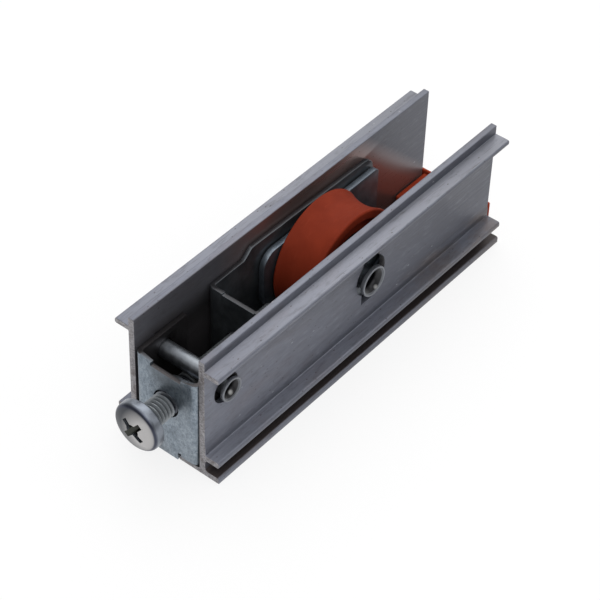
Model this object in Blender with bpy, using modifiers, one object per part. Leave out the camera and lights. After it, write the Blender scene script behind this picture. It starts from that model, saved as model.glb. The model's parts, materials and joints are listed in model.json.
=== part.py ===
"""Sliding door roller: a screw-adjusted wheel in an aluminium channel.

The screw at the front draws a carriage along the channel.  The inclined slots of the carriage lift
the axle in the upright slots of the channel, and the fork and the wheel rise with the axle.
The origin is the middle of the channel's underside.  +X points away from the screw head and +Z to
the open side.  Lengths are in metres.  Names that end in _AT are places along X, measured from the
sawn end of the channel at the screw.
"""
import math

import bmesh
import bpy
from mathutils import Matrix, Vector

OBJECT_NAME = "sliding_door_roller"

# Channel section
HOUSING_LENGTH = 0.0825
HOUSING_WIDTH = 0.0170
HOUSING_HEIGHT = 0.0272
WALL = 0.0013
FLOOR = 0.0010
RIB_REACH = 0.0031
RIB_TIP_RADIUS = 0.0004
FLANGE_TOP = 0.0253
FLANGE_THICKNESS = 0.0011
UPPER_LIP_TOP = 0.0051
LIP_THICKNESS = 0.0013
LIP_ROOT_RADIUS = 0.0007
FOOT_TOP = 0.0073
FOOT_STEP = 0.00012
FOOT_SLOPE = 0.0003
WALL_EDGE_RADIUS = 0.0002
FLOOR_CORNER_RADIUS = 0.0004
WALL_OUTSIDE = HOUSING_WIDTH / 2
WALL_INSIDE = WALL_OUTSIDE - WALL
RIB_TIP = WALL_OUTSIDE + RIB_REACH

# Layers of sheet between the walls, from the wall inwards
SHEET = 0.0009
FORK_SHEET = 0.0012
LAYER_GAP = 0.00022
FLOOR_GAP = 0.0003
ARM_OUTSIDE = WALL_INSIDE - LAYER_GAP
ARM_INSIDE = ARM_OUTSIDE - SHEET
FORK_OUTSIDE = ARM_INSIDE - LAYER_GAP
FORK_INSIDE = FORK_OUTSIDE - FORK_SHEET
BEND_INSIDE = 0.0004

# Axle, its openings in the walls and its lift
AXLE_AT = 0.0453
AXLE_HEIGHT = 0.0143
AXLE_RADIUS = 0.0022
AXLE_CLEARANCE = 0.0002
RIM_GAP = 0.00015
AXLE_HEAD_RADIUS = 0.0033
AXLE_HEAD_HEIGHT = 0.0010
AXLE_HEAD_EDGE = 0.0003
AXLE_FLARE_RADIUS = 0.00315
AXLE_FLARE_HEIGHT = 0.0008
LIFT_TRAVEL = 0.0030
CARRIAGE_TRAVEL = 0.0052
WALL_SLOT_WIDTH = 0.0048
WALL_SLOT_BELOW = 0.0047
WALL_SLOT_ABOVE = 0.0054
WALL_HOLE_RADIUS = 0.00415
WALL_HOLE_RISE = 0.0011

# Front bracket, its pin and the notch in the floor for its tongue
BRACKET_FRONT_AT = -0.00035
BRACKET_BACK_AT = 0.0120
BRACKET_TOP = 0.0206
BRACKET_MIDDLE_TOP = 0.0193
BRACKET_SHOULDER_TOP = 0.0200
BRACKET_SHOULDER_INSIDE = 0.0034
BRACKET_SHOULDER_OUTSIDE = 0.0058
BRACKET_BOTTOM = FLOOR + FLOOR_GAP
TONGUE_HALF_WIDTH = 0.0025
TONGUE_BOTTOM = 0.0001
TONGUE_RELIEF_WIDTH = 0.0008
TONGUE_RELIEF_TOP = 0.0019
NOTCH_GAP = 0.0001
PIN_AT = 0.0063
PIN_HEIGHT = 0.0168
PIN_RADIUS = 0.0017
PIN_CLEARANCE = 0.0002
PIN_FLARE_RADIUS = 0.00245
PIN_PROUD = 0.00075
PIN_HOLE_RADIUS = 0.0030
PIN_HOLE_FORWARD = 0.0008
PIN_HOLE_RISE = 0.0007

# Rivet ends: a flared rim round a conical recess
RIM_EDGE = 0.0002
RIM_WIDTH = 0.0005
RECESS_FLOOR_RADIUS = 0.0008
RECESS_DEPTH = 0.0016

# Adjusting screw and its collar
SCREW_HEIGHT = 0.01245
SHANK_RADIUS = 0.00245
SHANK_TIP_AT = 0.0290
TIP_CHAMFER = 0.0006
HEAD_BACK_AT = -0.0060
HEAD_SIDE = 0.0016
HEAD_DOME = 0.0013
HEAD_RADIUS = 0.00487
HEAD_EDGE = 0.0002
CROSS_WIDTH = 0.0011
CROSS_TOP_LENGTH = 0.0054
CROSS_FLOOR_LENGTH = 0.0018
CROSS_DEPTH = 0.0024
CROSS_TURN = math.radians(40)
SCREW_HOLE_RADIUS = 0.0028
TAPPED_HOLE_RADIUS = 0.0027
COLLAR_RADIUS = 0.0033
COLLAR_BORE_RADIUS = 0.0026
COLLAR_LENGTH = 0.0028
COLLAR_GAP = 0.0004

# Carriage
CARRIAGE_FRONT_AT = 0.0184
CARRIAGE_BACK_AT = 0.0642
CARRIAGE_BOTTOM = FLOOR + FLOOR_GAP
CARRIAGE_PLATE_TOP = 0.0221
CARRIAGE_PLATE_NOTCH = 0.0036
CARRIAGE_LOW_TOP = 0.0224
CARRIAGE_LOW_END_AT = 0.0274
CARRIAGE_HIGH_START_AT = 0.0295
CARRIAGE_HIGH_TOP = 0.0242
CARRIAGE_BACK_TOP = 0.0234
CARRIAGE_RAMP_RADIUS = 0.0010
CARRIAGE_END_RADIUS = 0.0024
CARRIAGE_HEEL_RADIUS = 0.0010

# Fork
FORK_FRONT_AT = 0.0310
FORK_BACK_AT = 0.0642
FORK_TOP = 0.0214
FORK_CHEEK_BOTTOM = 0.0080
FORK_BOTTOM = 0.0024
FORK_KNEE_AT = 0.0520
FORK_HEEL_AT = 0.0565
FORK_NOSE_RADIUS = 0.0034
FORK_BACK_RADIUS = 0.0010
FORK_KNEE_RADIUS = 0.0020

# Wheel
WHEEL_RADIUS = 0.0122
WHEEL_WIDTH = 0.0088
TREAD_DEPTH = 0.0009
TREAD_SHOULDER = 0.0003
WHEEL_FACE_RADIUS = 0.0103
WHEEL_WEB_RADIUS = 0.0098
WHEEL_WEB_WIDTH = 0.0072
WHEEL_LIP_RADIUS = 0.0076

# Ball bearing, with the play of each fit
BEARING_RADIUS = 0.0080
BEARING_BORE_RADIUS = 0.0023
BEARING_WIDTH = 0.0050
BEARING_SEAT_GAP = 0.00015
BEARING_END_GAP = 0.0003
BALL_COUNT = 7
BALL_RADIUS = 0.0015
BALL_PITCH_RADIUS = 0.00525
BALL_PLAY = 0.0001
OUTER_LAND_RADIUS = 0.0066
INNER_LAND_RADIUS = 0.0039
CAGE_INNER_RADIUS = 0.0046
CAGE_OUTER_RADIUS = 0.0059
CAGE_DEPTH = 0.0020
CAGE_RISE = 0.0005
POCKET_PLAY = 0.00015
SHIELD_THICKNESS = 0.00025
SHIELD_INSET = 0.0001
SHIELD_GAP = 0.00015
SPACER_RADIUS = 0.0036
SPACER_GAP = 0.0001

# Cap at the far end: a plug between the walls and a plate over their ends
PLUG_FRONT_AT = 0.0736
PLUG_TOP = 0.0070
CAP_GAP = 0.0003
CAP_THICKNESS = 0.0006
CAP_BOTTOM = 0.0006
CAP_TOP = 0.0077
CAP_EDGE = 0.0002

# How finely round shapes are divided
ARC_STEP = math.radians(22.5)
COARSE_STEPS = 28
FINE_STEPS = 32
WHEEL_STEPS = 56
TREAD_STEPS = 8
RACEWAY_STEPS = 3
DOME_STEPS = 5
BALL_SEGMENTS = 12
BALL_RINGS = 8
EDGE_SEGMENTS = 2
SHARP_ANGLE = math.radians(35)
WELD_DISTANCE = 1e-6
OVERSHOOT = 0.002

# Directions of an outline's own x, y and z: the outline lies across the named axis
FRAMES = {
    "X": Matrix(((0, 0, 1), (1, 0, 0), (0, 1, 0))),
    "Y": Matrix(((1, 0, 0), (0, 0, -1), (0, 1, 0))),
    "Z": Matrix.Identity(3),
}

# Colour, roughness and metallic value of each finish
FINISHES = {
    "mill_aluminium": ((0.52, 0.53, 0.57), 0.38, 1.0),
    "galvanised_sheet": ((0.42, 0.46, 0.50), 0.45, 1.0),
    "zinc_screw": ((0.55, 0.58, 0.63), 0.28, 1.0),
    "zinc_sheet": ((0.36, 0.38, 0.41), 0.36, 1.0),
    "rivet_steel": ((0.58, 0.59, 0.60), 0.25, 1.0),
    "wheel_nylon": ((0.34, 0.055, 0.024), 0.5, 0.0),
    "cap_nylon": ((0.36, 0.060, 0.024), 0.5, 0.0),
    "bearing_steel": ((0.62, 0.62, 0.62), 0.18, 1.0),
    "cage_polymer": ((0.62, 0.58, 0.48), 0.5, 0.0),
}


def along(distance):
    """X of a place that lies this far from the sawn end at the screw."""
    return distance - HOUSING_LENGTH / 2


def axle_point():
    """Middle of the axle at rest, on the axis that the wheel spins on."""
    return Vector((along(AXLE_AT), 0, AXLE_HEIGHT))


def screw_point():
    """Point of the screw's axis in the front face of the bracket."""
    return Vector((along(BRACKET_FRONT_AT), 0, SCREW_HEIGHT))


def clear_scene():
    for obj in list(bpy.data.objects):
        bpy.data.objects.remove(obj, do_unlink=True)


def new_collection(name):
    collection = bpy.data.collections.new(name)
    bpy.context.scene.collection.children.link(collection)
    return collection


def finish_material(name):
    """Principled material of a named finish, made once."""
    if name in bpy.data.materials:
        return bpy.data.materials[name]
    colour, roughness, metallic = FINISHES[name]
    material = bpy.data.materials.new(name)
    material.use_nodes = True
    shader = material.node_tree.nodes["Principled BSDF"]
    shader.inputs["Base Color"].default_value = (*colour, 1)
    shader.inputs["Roughness"].default_value = roughness
    shader.inputs["Metallic"].default_value = metallic
    return material


class Assembly:
    """The two collections and the ways in which pieces are added to them."""

    def __init__(self):
        self.parts = new_collection(OBJECT_NAME)
        self.cutters = new_collection(OBJECT_NAME + "_cutters")

    def part(self, obj, finish, pivot=None):
        """Put a piece among the parts, with its finish, carried by the empty on its joint's axis."""
        self.parts.objects.link(obj)
        obj.data.materials.clear()
        obj.data.materials.append(finish_material(finish))
        if pivot:
            obj.parent = pivot
            obj.matrix_parent_inverse = Matrix.Translation(-pivot.location)
        return obj

    def pivot(self, name, location):
        empty = bpy.data.objects.new(name, None)
        empty.location = location
        self.parts.objects.link(empty)
        return empty

    def change(self, obj, operation, tool):
        """Cut, keep or join a piece with a tool, which stays among the cutters."""
        self.cutters.objects.link(tool)
        tool.hide_render = True
        tool.display_type = "WIRE"
        boolean = obj.modifiers.new(tool.name, "BOOLEAN")
        boolean.operation = operation
        boolean.object = tool
        boolean.solver = "EXACT"
        return obj


def shade(mesh):
    mesh.shade_smooth()
    mesh.set_sharp_from_angle(angle=SHARP_ANGLE)


def solid_from(source):
    """Replace a curve or a modified object by a welded closed mesh in the same place."""
    scene_objects = bpy.context.scene.collection.objects
    scene_objects.link(source)
    graph = bpy.context.evaluated_depsgraph_get()
    mesh = bpy.data.meshes.new_from_object(source.evaluated_get(graph))
    name = source.name
    place = source.matrix_world.copy()
    bpy.data.objects.remove(source, do_unlink=True)
    work = bmesh.new()
    work.from_mesh(mesh)
    bmesh.ops.remove_doubles(work, verts=work.verts, dist=WELD_DISTANCE)
    bmesh.ops.recalc_face_normals(work, faces=work.faces)
    work.to_mesh(mesh)
    work.free()
    shade(mesh)
    mesh.name = name
    solid = bpy.data.objects.new(name, mesh)
    solid.matrix_world = place
    return solid


def primitive(name, add, place):
    """Object from one bmesh primitive that add puts into a bmesh."""
    mesh = bpy.data.meshes.new(name)
    work = bmesh.new()
    add(work)
    work.to_mesh(mesh)
    work.free()
    shade(mesh)
    obj = bpy.data.objects.new(name, mesh)
    obj.matrix_world = place
    return obj


def placed(axis, centre):
    return Matrix.Translation(centre) @ FRAMES[axis].to_4x4()


def round_bar(name, axis, centre, radius, length, steps=COARSE_STEPS):
    """Cylinder whose middle is at centre."""
    def add(work):
        bmesh.ops.create_cone(work, cap_ends=True, segments=steps,
                              radius1=radius, radius2=radius, depth=length)
    return primitive(name, add, placed(axis, centre))


def ball(name, centre, radius):
    def add(work):
        bmesh.ops.create_uvsphere(work, u_segments=BALL_SEGMENTS, v_segments=BALL_RINGS, radius=radius)
    return primitive(name, add, Matrix.Translation(centre))


def block(name, low, high):
    """Box between two corners."""
    low, high = Vector(low), Vector(high)

    def add(work):
        bmesh.ops.create_cube(work, size=1, matrix=Matrix.Diagonal((*(high - low), 1)))
    return primitive(name, add, Matrix.Translation((low + high) / 2))


def arc(centre, radius, start, sweep):
    """Points on an arc, its two ends included."""
    count = max(2, math.ceil(abs(sweep) / ARC_STEP) + 1)
    angles = [start + sweep * index / (count - 1) for index in range(count)]
    return [(centre[0] + radius * math.cos(a), centre[1] + radius * math.sin(a)) for a in angles]


def rounded(corners):
    """Outline through corners given as (x, y, radius), each rounded by its radius."""
    points = []
    for index, (x, y, radius) in enumerate(corners):
        corner = Vector((x, y))
        before = (Vector(corners[index - 1][:2]) - corner).normalized()
        after = (Vector(corners[(index + 1) % len(corners)][:2]) - corner).normalized()
        if radius == 0:
            points.append((x, y))
            continue
        half = before.angle(after) / 2
        centre = corner + (before + after).normalized() * radius / math.sin(half)
        first = corner + before * radius / math.tan(half) - centre
        last = corner + after * radius / math.tan(half) - centre
        points += arc(centre, radius, math.atan2(first.y, first.x), -first.angle_signed(last))
    return points


def circle(x, y, radius):
    return arc((x, y), radius, 0, math.tau)[:-1]


def long_hole(start, end, radius):
    """Outline of a slot with round ends centred on start and end."""
    heading = math.atan2(end[1] - start[1], end[0] - start[0])
    quarter = math.pi / 2
    return arc(end, radius, heading - quarter, math.pi) + arc(start, radius, heading + quarter, math.pi)


def plate(name, axis, outlines, low, high):
    """Flat piece across an axis, from low to high along it; outlines inside the first are holes."""
    curve = bpy.data.curves.new(name, "CURVE")
    curve.dimensions = "2D"
    curve.fill_mode = "BOTH"
    curve.extrude = (high - low) / 2
    for outline in outlines:
        spline = curve.splines.new("POLY")
        spline.points.add(len(outline) - 1)
        for point, (x, y) in zip(spline.points, outline):
            point.co = (x, y, 0, 1)
        spline.use_cyclic_u = True
    obj = bpy.data.objects.new(name, curve)
    direction = Vector([float(letter == axis) for letter in "XYZ"])
    obj.matrix_world = placed(axis, direction * (low + high) / 2)
    return solid_from(obj)


def turned(name, profile, axis, centre, steps=COARSE_STEPS):
    """Profile of (radius, height) turned about an axis; heights run along +X, -Y or +Z."""
    count = len(profile)
    hollow = profile[0][0] > 0
    links = count if hollow else count - 1
    mesh = bpy.data.meshes.new(name)
    mesh.from_pydata([(r, 0, h) for r, h in profile], [(i, (i + 1) % count) for i in range(links)], [])
    obj = bpy.data.objects.new(name, mesh)
    screw = obj.modifiers.new("turn", "SCREW")
    screw.axis = "Z"
    screw.angle = math.tau
    screw.steps = screw.render_steps = steps
    screw.use_merge_vertices = True
    screw.merge_threshold = WELD_DISTANCE
    obj.matrix_world = placed(axis, centre)
    return solid_from(obj)


def mirrored_profile(half):
    """Closed profile from the half above height zero, given from the outside inwards."""
    return [(r, -h) for r, h in half] + [(r, h) for r, h in reversed(half)]


def flared_end(shaft, flare, seat, end):
    """Upper end of a tubular rivet: recess, rim and underside, from the axis out to the shaft."""
    rim_inside = flare - RIM_WIDTH
    return [
        (0, end - RECESS_DEPTH),
        (RECESS_FLOOR_RADIUS, end - RECESS_DEPTH),
        (rim_inside - RIM_EDGE, end - RIM_EDGE),
        (rim_inside, end),
        (flare - RIM_EDGE, end),
        (flare, end - RIM_EDGE),
        (flare, seat + RIM_EDGE),
        (flare - RIM_EDGE, seat),
        (shaft, seat),
    ]


def folded_plan(front, back):
    """Plan of a sheet folded into a U: a front plate with an arm along each wall."""
    inner = front + SHEET
    return rounded([
        (back, ARM_OUTSIDE, 0), (front, ARM_OUTSIDE, BEND_INSIDE + SHEET),
        (front, -ARM_OUTSIDE, BEND_INSIDE + SHEET), (back, -ARM_OUTSIDE, 0),
        (back, -ARM_INSIDE, 0), (inner, -ARM_INSIDE, BEND_INSIDE),
        (inner, ARM_INSIDE, BEND_INSIDE), (back, ARM_INSIDE, 0),
    ])


def housing_section():
    """Section of the extrusion: floor, walls, a flange near the top and two lips at the foot."""
    foot = WALL_OUTSIDE + FOOT_STEP
    flange_bottom = FLANGE_TOP - FLANGE_THICKNESS
    lip_bottom = UPPER_LIP_TOP - LIP_THICKNESS
    half = [
        (WALL_INSIDE, FLOOR, FLOOR_CORNER_RADIUS),
        (WALL_INSIDE, HOUSING_HEIGHT, WALL_EDGE_RADIUS),
        (WALL_OUTSIDE, HOUSING_HEIGHT, WALL_EDGE_RADIUS),
        (WALL_OUTSIDE, FLANGE_TOP, 0),
        (RIB_TIP, FLANGE_TOP, RIB_TIP_RADIUS),
        (RIB_TIP, flange_bottom, RIB_TIP_RADIUS),
        (WALL_OUTSIDE, flange_bottom, WALL_EDGE_RADIUS),
        (WALL_OUTSIDE, FOOT_TOP, 0),
        (foot, FOOT_TOP - FOOT_SLOPE, 0),
        (foot, UPPER_LIP_TOP, WALL_EDGE_RADIUS),
        (RIB_TIP, UPPER_LIP_TOP, RIB_TIP_RADIUS),
        (RIB_TIP, lip_bottom, RIB_TIP_RADIUS),
        (WALL_OUTSIDE, lip_bottom, LIP_ROOT_RADIUS),
        (WALL_OUTSIDE, LIP_THICKNESS, LIP_ROOT_RADIUS),
        (RIB_TIP, LIP_THICKNESS, RIB_TIP_RADIUS),
        (RIB_TIP, 0, 0),
    ]
    return rounded(half + [(-y, z, radius) for y, z, radius in reversed(half)])


def make_housing(assembly):
    """Channel with a notch for the tongue, two holes for the pin and two openings for the axle."""
    half_length = HOUSING_LENGTH / 2
    housing = plate("housing", "X", [housing_section()], -half_length, half_length)
    notch_back = along(BRACKET_FRONT_AT + SHEET + NOTCH_GAP)
    notch_side = TONGUE_HALF_WIDTH + NOTCH_GAP
    assembly.change(housing, "DIFFERENCE", block(
        "tongue_notch", (-half_length - OVERSHOOT, -notch_side, -OVERSHOOT),
        (notch_back, notch_side, FLOOR + FLOOR_GAP)))
    across = 2 * RIB_TIP
    pin_hole = (along(PIN_AT - PIN_HOLE_FORWARD), 0, PIN_HEIGHT + PIN_HOLE_RISE)
    assembly.change(housing, "DIFFERENCE", round_bar("pin_holes", "Y", pin_hole, PIN_HOLE_RADIUS, across))
    axle = axle_point()
    axle_hole = (axle.x, 0, AXLE_HEIGHT + WALL_HOLE_RISE)
    assembly.change(housing, "DIFFERENCE", round_bar("axle_holes", "Y", axle_hole, WALL_HOLE_RADIUS, across))
    assembly.change(housing, "DIFFERENCE", block(
        "axle_slots", (axle.x - WALL_SLOT_WIDTH / 2, -RIB_TIP, AXLE_HEIGHT - WALL_SLOT_BELOW),
        (axle.x + WALL_SLOT_WIDTH / 2, RIB_TIP, AXLE_HEIGHT + WALL_SLOT_ABOVE)))
    assembly.part(housing, "mill_aluminium")


def bracket_front_outline():
    """Front view of the bracket: stepped top edge, and a tongue between two reliefs below."""
    relief = TONGUE_HALF_WIDTH + TONGUE_RELIEF_WIDTH
    half = [
        (BRACKET_SHOULDER_INSIDE, BRACKET_MIDDLE_TOP),
        (BRACKET_SHOULDER_INSIDE, BRACKET_SHOULDER_TOP),
        (BRACKET_SHOULDER_OUTSIDE, BRACKET_TOP),
        (ARM_OUTSIDE + OVERSHOOT, BRACKET_TOP),
        (ARM_OUTSIDE + OVERSHOOT, BRACKET_BOTTOM),
        (relief, BRACKET_BOTTOM),
        (relief, TONGUE_RELIEF_TOP),
        (TONGUE_HALF_WIDTH, TONGUE_RELIEF_TOP),
        (TONGUE_HALF_WIDTH, TONGUE_BOTTOM),
    ]
    return half + [(-y, z) for y, z in reversed(half)]


def make_bracket(assembly):
    """Folded sheet that closes the screw end and carries the screw."""
    front, back = along(BRACKET_FRONT_AT), along(BRACKET_BACK_AT)
    bracket = plate("front_bracket", "Z", [folded_plan(front, back)],
                    TONGUE_BOTTOM - OVERSHOOT, BRACKET_TOP + OVERSHOOT)
    assembly.change(bracket, "INTERSECT", plate(
        "bracket_front", "X", [bracket_front_outline()], front - OVERSHOOT, back + OVERSHOOT))
    assembly.change(bracket, "DIFFERENCE", round_bar(
        "bracket_screw_hole", "X", screw_point(), SCREW_HOLE_RADIUS, 2 * OVERSHOOT))
    assembly.change(bracket, "DIFFERENCE", round_bar(
        "bracket_pin_holes", "Y", (along(PIN_AT), 0, PIN_HEIGHT),
        PIN_RADIUS + PIN_CLEARANCE, 2 * WALL_OUTSIDE))
    assembly.part(bracket, "galvanised_sheet")


def make_pin(assembly):
    """Tubular rivet through both arms of the bracket, flared outside both walls."""
    end = flared_end(PIN_RADIUS, PIN_FLARE_RADIUS, WALL_OUTSIDE + RIM_GAP, WALL_OUTSIDE + PIN_PROUD)
    profile = end + [(r, -h) for r, h in reversed(end)]
    pin = turned("bracket_pin", profile, "Y", (along(PIN_AT), 0, PIN_HEIGHT))
    assembly.part(pin, "rivet_steel")


def make_screw(assembly, pivot):
    """Pan-head screw with a cross recess, and the collar that holds it behind the bracket."""
    rim = HEAD_BACK_AT - HEAD_SIDE
    dome = [(HEAD_RADIUS * math.cos(a), rim - HEAD_DOME * math.sin(a))
            for a in (index * math.pi / 2 / DOME_STEPS for index in range(DOME_STEPS))]
    profile = [
        (0, SHANK_TIP_AT), (SHANK_RADIUS - TIP_CHAMFER, SHANK_TIP_AT),
        (SHANK_RADIUS, SHANK_TIP_AT - TIP_CHAMFER), (SHANK_RADIUS, HEAD_BACK_AT),
        (HEAD_RADIUS - HEAD_EDGE, HEAD_BACK_AT), (HEAD_RADIUS, HEAD_BACK_AT - HEAD_EDGE),
        *dome, (0, rim - HEAD_DOME),
    ]
    screw_end = (along(0), 0, SCREW_HEIGHT)
    screw = turned("adjusting_screw", profile, "X", screw_end, FINE_STEPS)
    recess_floor = rim - HEAD_DOME + CROSS_DEPTH
    for name, turn in (("cross_wing_1", CROSS_TURN), ("cross_wing_2", CROSS_TURN + math.pi / 2)):
        wing = plate(name, "Z", [[
            (rim - HEAD_DOME, CROSS_TOP_LENGTH / 2), (recess_floor, CROSS_FLOOR_LENGTH / 2),
            (recess_floor, -CROSS_FLOOR_LENGTH / 2), (rim - HEAD_DOME, -CROSS_TOP_LENGTH / 2),
        ]], -CROSS_WIDTH / 2, CROSS_WIDTH / 2)
        wing.matrix_world = Matrix.Translation(screw_end) @ Matrix.Rotation(turn, 4, "X") @ wing.matrix_world
        assembly.change(screw, "DIFFERENCE", wing)
    assembly.part(screw, "zinc_screw", pivot)

    collar_front = BRACKET_FRONT_AT + SHEET + COLLAR_GAP
    collar_back = collar_front + COLLAR_LENGTH
    collar = turned("screw_collar", [
        (COLLAR_RADIUS, collar_back), (COLLAR_RADIUS, collar_front),
        (COLLAR_BORE_RADIUS, collar_front), (COLLAR_BORE_RADIUS, collar_back),
    ], "X", screw_end)
    assembly.part(collar, "zinc_screw", pivot)


def carriage_side_outlines():
    """Side view of the carriage: stepped top edge, round far end, and the inclined slot."""
    axle = (along(AXLE_AT), AXLE_HEIGHT)
    lifted = (axle[0] + CARRIAGE_TRAVEL, axle[1] + LIFT_TRAVEL)
    front, back = along(CARRIAGE_FRONT_AT) - OVERSHOOT, along(CARRIAGE_BACK_AT)
    edge = rounded([
        (front, CARRIAGE_BOTTOM, 0),
        (front, CARRIAGE_LOW_TOP, 0),
        (along(CARRIAGE_LOW_END_AT), CARRIAGE_LOW_TOP, CARRIAGE_RAMP_RADIUS),
        (along(CARRIAGE_HIGH_START_AT), CARRIAGE_HIGH_TOP, CARRIAGE_RAMP_RADIUS),
        (back, CARRIAGE_BACK_TOP, CARRIAGE_END_RADIUS),
        (back, CARRIAGE_BOTTOM, CARRIAGE_HEEL_RADIUS),
    ])
    return [edge, long_hole(axle, lifted, AXLE_RADIUS + AXLE_CLEARANCE)]


def make_carriage(assembly, pivot):
    """Folded sheet that the screw draws along the channel."""
    front, back = along(CARRIAGE_FRONT_AT), along(CARRIAGE_BACK_AT)
    carriage = plate("carriage", "Z", [folded_plan(front, back + OVERSHOOT)],
                     CARRIAGE_BOTTOM - OVERSHOOT, CARRIAGE_HIGH_TOP + OVERSHOOT)
    assembly.change(carriage, "INTERSECT", plate(
        "carriage_side", "Y", carriage_side_outlines(), -WALL_OUTSIDE, WALL_OUTSIDE))
    assembly.change(carriage, "DIFFERENCE", block(
        "carriage_plate_notch", (front - OVERSHOOT, -CARRIAGE_PLATE_NOTCH, CARRIAGE_PLATE_TOP),
        (front + OVERSHOOT, CARRIAGE_PLATE_NOTCH, CARRIAGE_PLATE_TOP + OVERSHOOT)))
    assembly.change(carriage, "DIFFERENCE", round_bar(
        "carriage_screw_hole", "X", (front, 0, SCREW_HEIGHT), TAPPED_HOLE_RADIUS, 2 * OVERSHOOT))
    assembly.part(carriage, "zinc_sheet", pivot)


def fork_section():
    """Section of the fork: two cheeks joined by a web at the foot."""
    top = FORK_TOP + OVERSHOOT
    web_top = FORK_BOTTOM + FORK_SHEET
    bend = BEND_INSIDE + FORK_SHEET
    return rounded([
        (FORK_OUTSIDE, top, 0), (FORK_OUTSIDE, FORK_BOTTOM, bend),
        (-FORK_OUTSIDE, FORK_BOTTOM, bend), (-FORK_OUTSIDE, top, 0),
        (-FORK_INSIDE, top, 0), (-FORK_INSIDE, web_top, BEND_INSIDE),
        (FORK_INSIDE, web_top, BEND_INSIDE), (FORK_INSIDE, top, 0),
    ])


def fork_side_outlines():
    """Side view of the fork: round nose, level top edge, and the hole for the axle."""
    front, back = along(FORK_FRONT_AT), along(FORK_BACK_AT)
    edge = rounded([
        (front, FORK_CHEEK_BOTTOM, FORK_NOSE_RADIUS),
        (front, FORK_TOP, FORK_NOSE_RADIUS),
        (back, FORK_TOP, FORK_BACK_RADIUS),
        (back, FORK_BOTTOM - OVERSHOOT, 0),
        (along(FORK_HEEL_AT), FORK_BOTTOM - OVERSHOOT, 0),
        (along(FORK_KNEE_AT), FORK_CHEEK_BOTTOM, FORK_KNEE_RADIUS),
    ])
    return [edge, circle(along(AXLE_AT), AXLE_HEIGHT, AXLE_RADIUS + AXLE_CLEARANCE)]


def make_fork(assembly, pivot):
    """Folded sheet that sits on the axle at both sides of the wheel."""
    fork = plate("wheel_fork", "X", [fork_section()],
                 along(FORK_FRONT_AT) - OVERSHOOT, along(FORK_BACK_AT) + OVERSHOOT)
    assembly.change(fork, "INTERSECT", plate(
        "fork_side", "Y", fork_side_outlines(), -WALL_INSIDE, WALL_INSIDE))
    assembly.part(fork, "zinc_sheet", pivot)


def make_axle(assembly, pivot):
    """Tubular rivet: flared at the near wall, with a low round head at the far wall."""
    seat = WALL_OUTSIDE + RIM_GAP
    edge_height = seat + AXLE_HEAD_EDGE
    dome = [(AXLE_HEAD_RADIUS * math.cos(a), -edge_height - (AXLE_HEAD_HEIGHT - AXLE_HEAD_EDGE) * math.sin(a))
            for a in (index * math.pi / 2 / DOME_STEPS for index in range(DOME_STEPS))]
    profile = flared_end(AXLE_RADIUS, AXLE_FLARE_RADIUS, seat, seat + AXLE_FLARE_HEIGHT)
    profile += [(AXLE_RADIUS, -seat), (AXLE_HEAD_RADIUS, -seat), *dome, (0, -seat - AXLE_HEAD_HEIGHT)]
    assembly.part(turned("wheel_axle", profile, "Y", axle_point()), "rivet_steel", pivot)


def make_wheel(assembly, pivot):
    """Moulded wheel with a hollow tread and a seat for the bearing between two lips."""
    half_width = WHEEL_WIDTH / 2
    shoulder = half_width - TREAD_SHOULDER
    tread_arc_radius = (shoulder ** 2 + TREAD_DEPTH ** 2) / (2 * TREAD_DEPTH)
    tread_centre = WHEEL_RADIUS - TREAD_DEPTH + tread_arc_radius
    heights = [shoulder * (1 - 2 * index / TREAD_STEPS) for index in range(TREAD_STEPS + 1)]
    tread = [(tread_centre - math.sqrt(tread_arc_radius ** 2 - h ** 2), h) for h in heights]
    seat = BEARING_RADIUS + BEARING_SEAT_GAP
    seat_end = BEARING_WIDTH / 2 + BEARING_END_GAP
    web_side = WHEEL_WEB_WIDTH / 2
    side = [
        (WHEEL_RADIUS - TREAD_SHOULDER, half_width), (WHEEL_FACE_RADIUS, half_width),
        (WHEEL_WEB_RADIUS, web_side), (WHEEL_LIP_RADIUS, web_side),
        (WHEEL_LIP_RADIUS, seat_end), (seat, seat_end),
    ]
    wheel = turned("wheel", tread + mirrored_profile(side), "Y", axle_point(), WHEEL_STEPS)
    assembly.part(wheel, "wheel_nylon", pivot)


def raceway(land_radius, outward):
    """Half of a bearing ring's running side, from the middle of the groove to the land."""
    groove = BALL_RADIUS + BALL_PLAY
    edge_angle = math.acos(abs(land_radius - BALL_PITCH_RADIUS) / groove)
    angles = [edge_angle * index / RACEWAY_STEPS for index in range(RACEWAY_STEPS + 1)]
    return [(BALL_PITCH_RADIUS + outward * groove * math.cos(a), groove * math.sin(a)) for a in angles]


def make_rings(assembly, pivot):
    """Outer and inner ring of the bearing, each with a groove for the balls."""
    side = BEARING_WIDTH / 2
    outer_race = raceway(OUTER_LAND_RADIUS, 1)
    outer_half = [(BEARING_RADIUS, side), (OUTER_LAND_RADIUS, side), *reversed(outer_race[1:])]
    outer_profile = outer_half + [outer_race[0]] + [(r, -h) for r, h in reversed(outer_half)]
    outer = turned("bearing_outer_ring", outer_profile, "Y", axle_point(), FINE_STEPS)
    assembly.part(outer, "bearing_steel", pivot)

    inner_race = raceway(INNER_LAND_RADIUS, -1)
    inner_half = [*inner_race[1:], (INNER_LAND_RADIUS, side), (BEARING_BORE_RADIUS, side)]
    inner_profile = [inner_race[0]] + mirrored_profile(inner_half)
    inner = turned("bearing_inner_ring", inner_profile, "Y", axle_point(), FINE_STEPS)
    assembly.part(inner, "bearing_steel", pivot)


def ball_points():
    for index in range(BALL_COUNT):
        angle = math.tau * index / BALL_COUNT
        yield axle_point() + BALL_PITCH_RADIUS * Vector((math.cos(angle), 0, math.sin(angle)))


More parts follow.
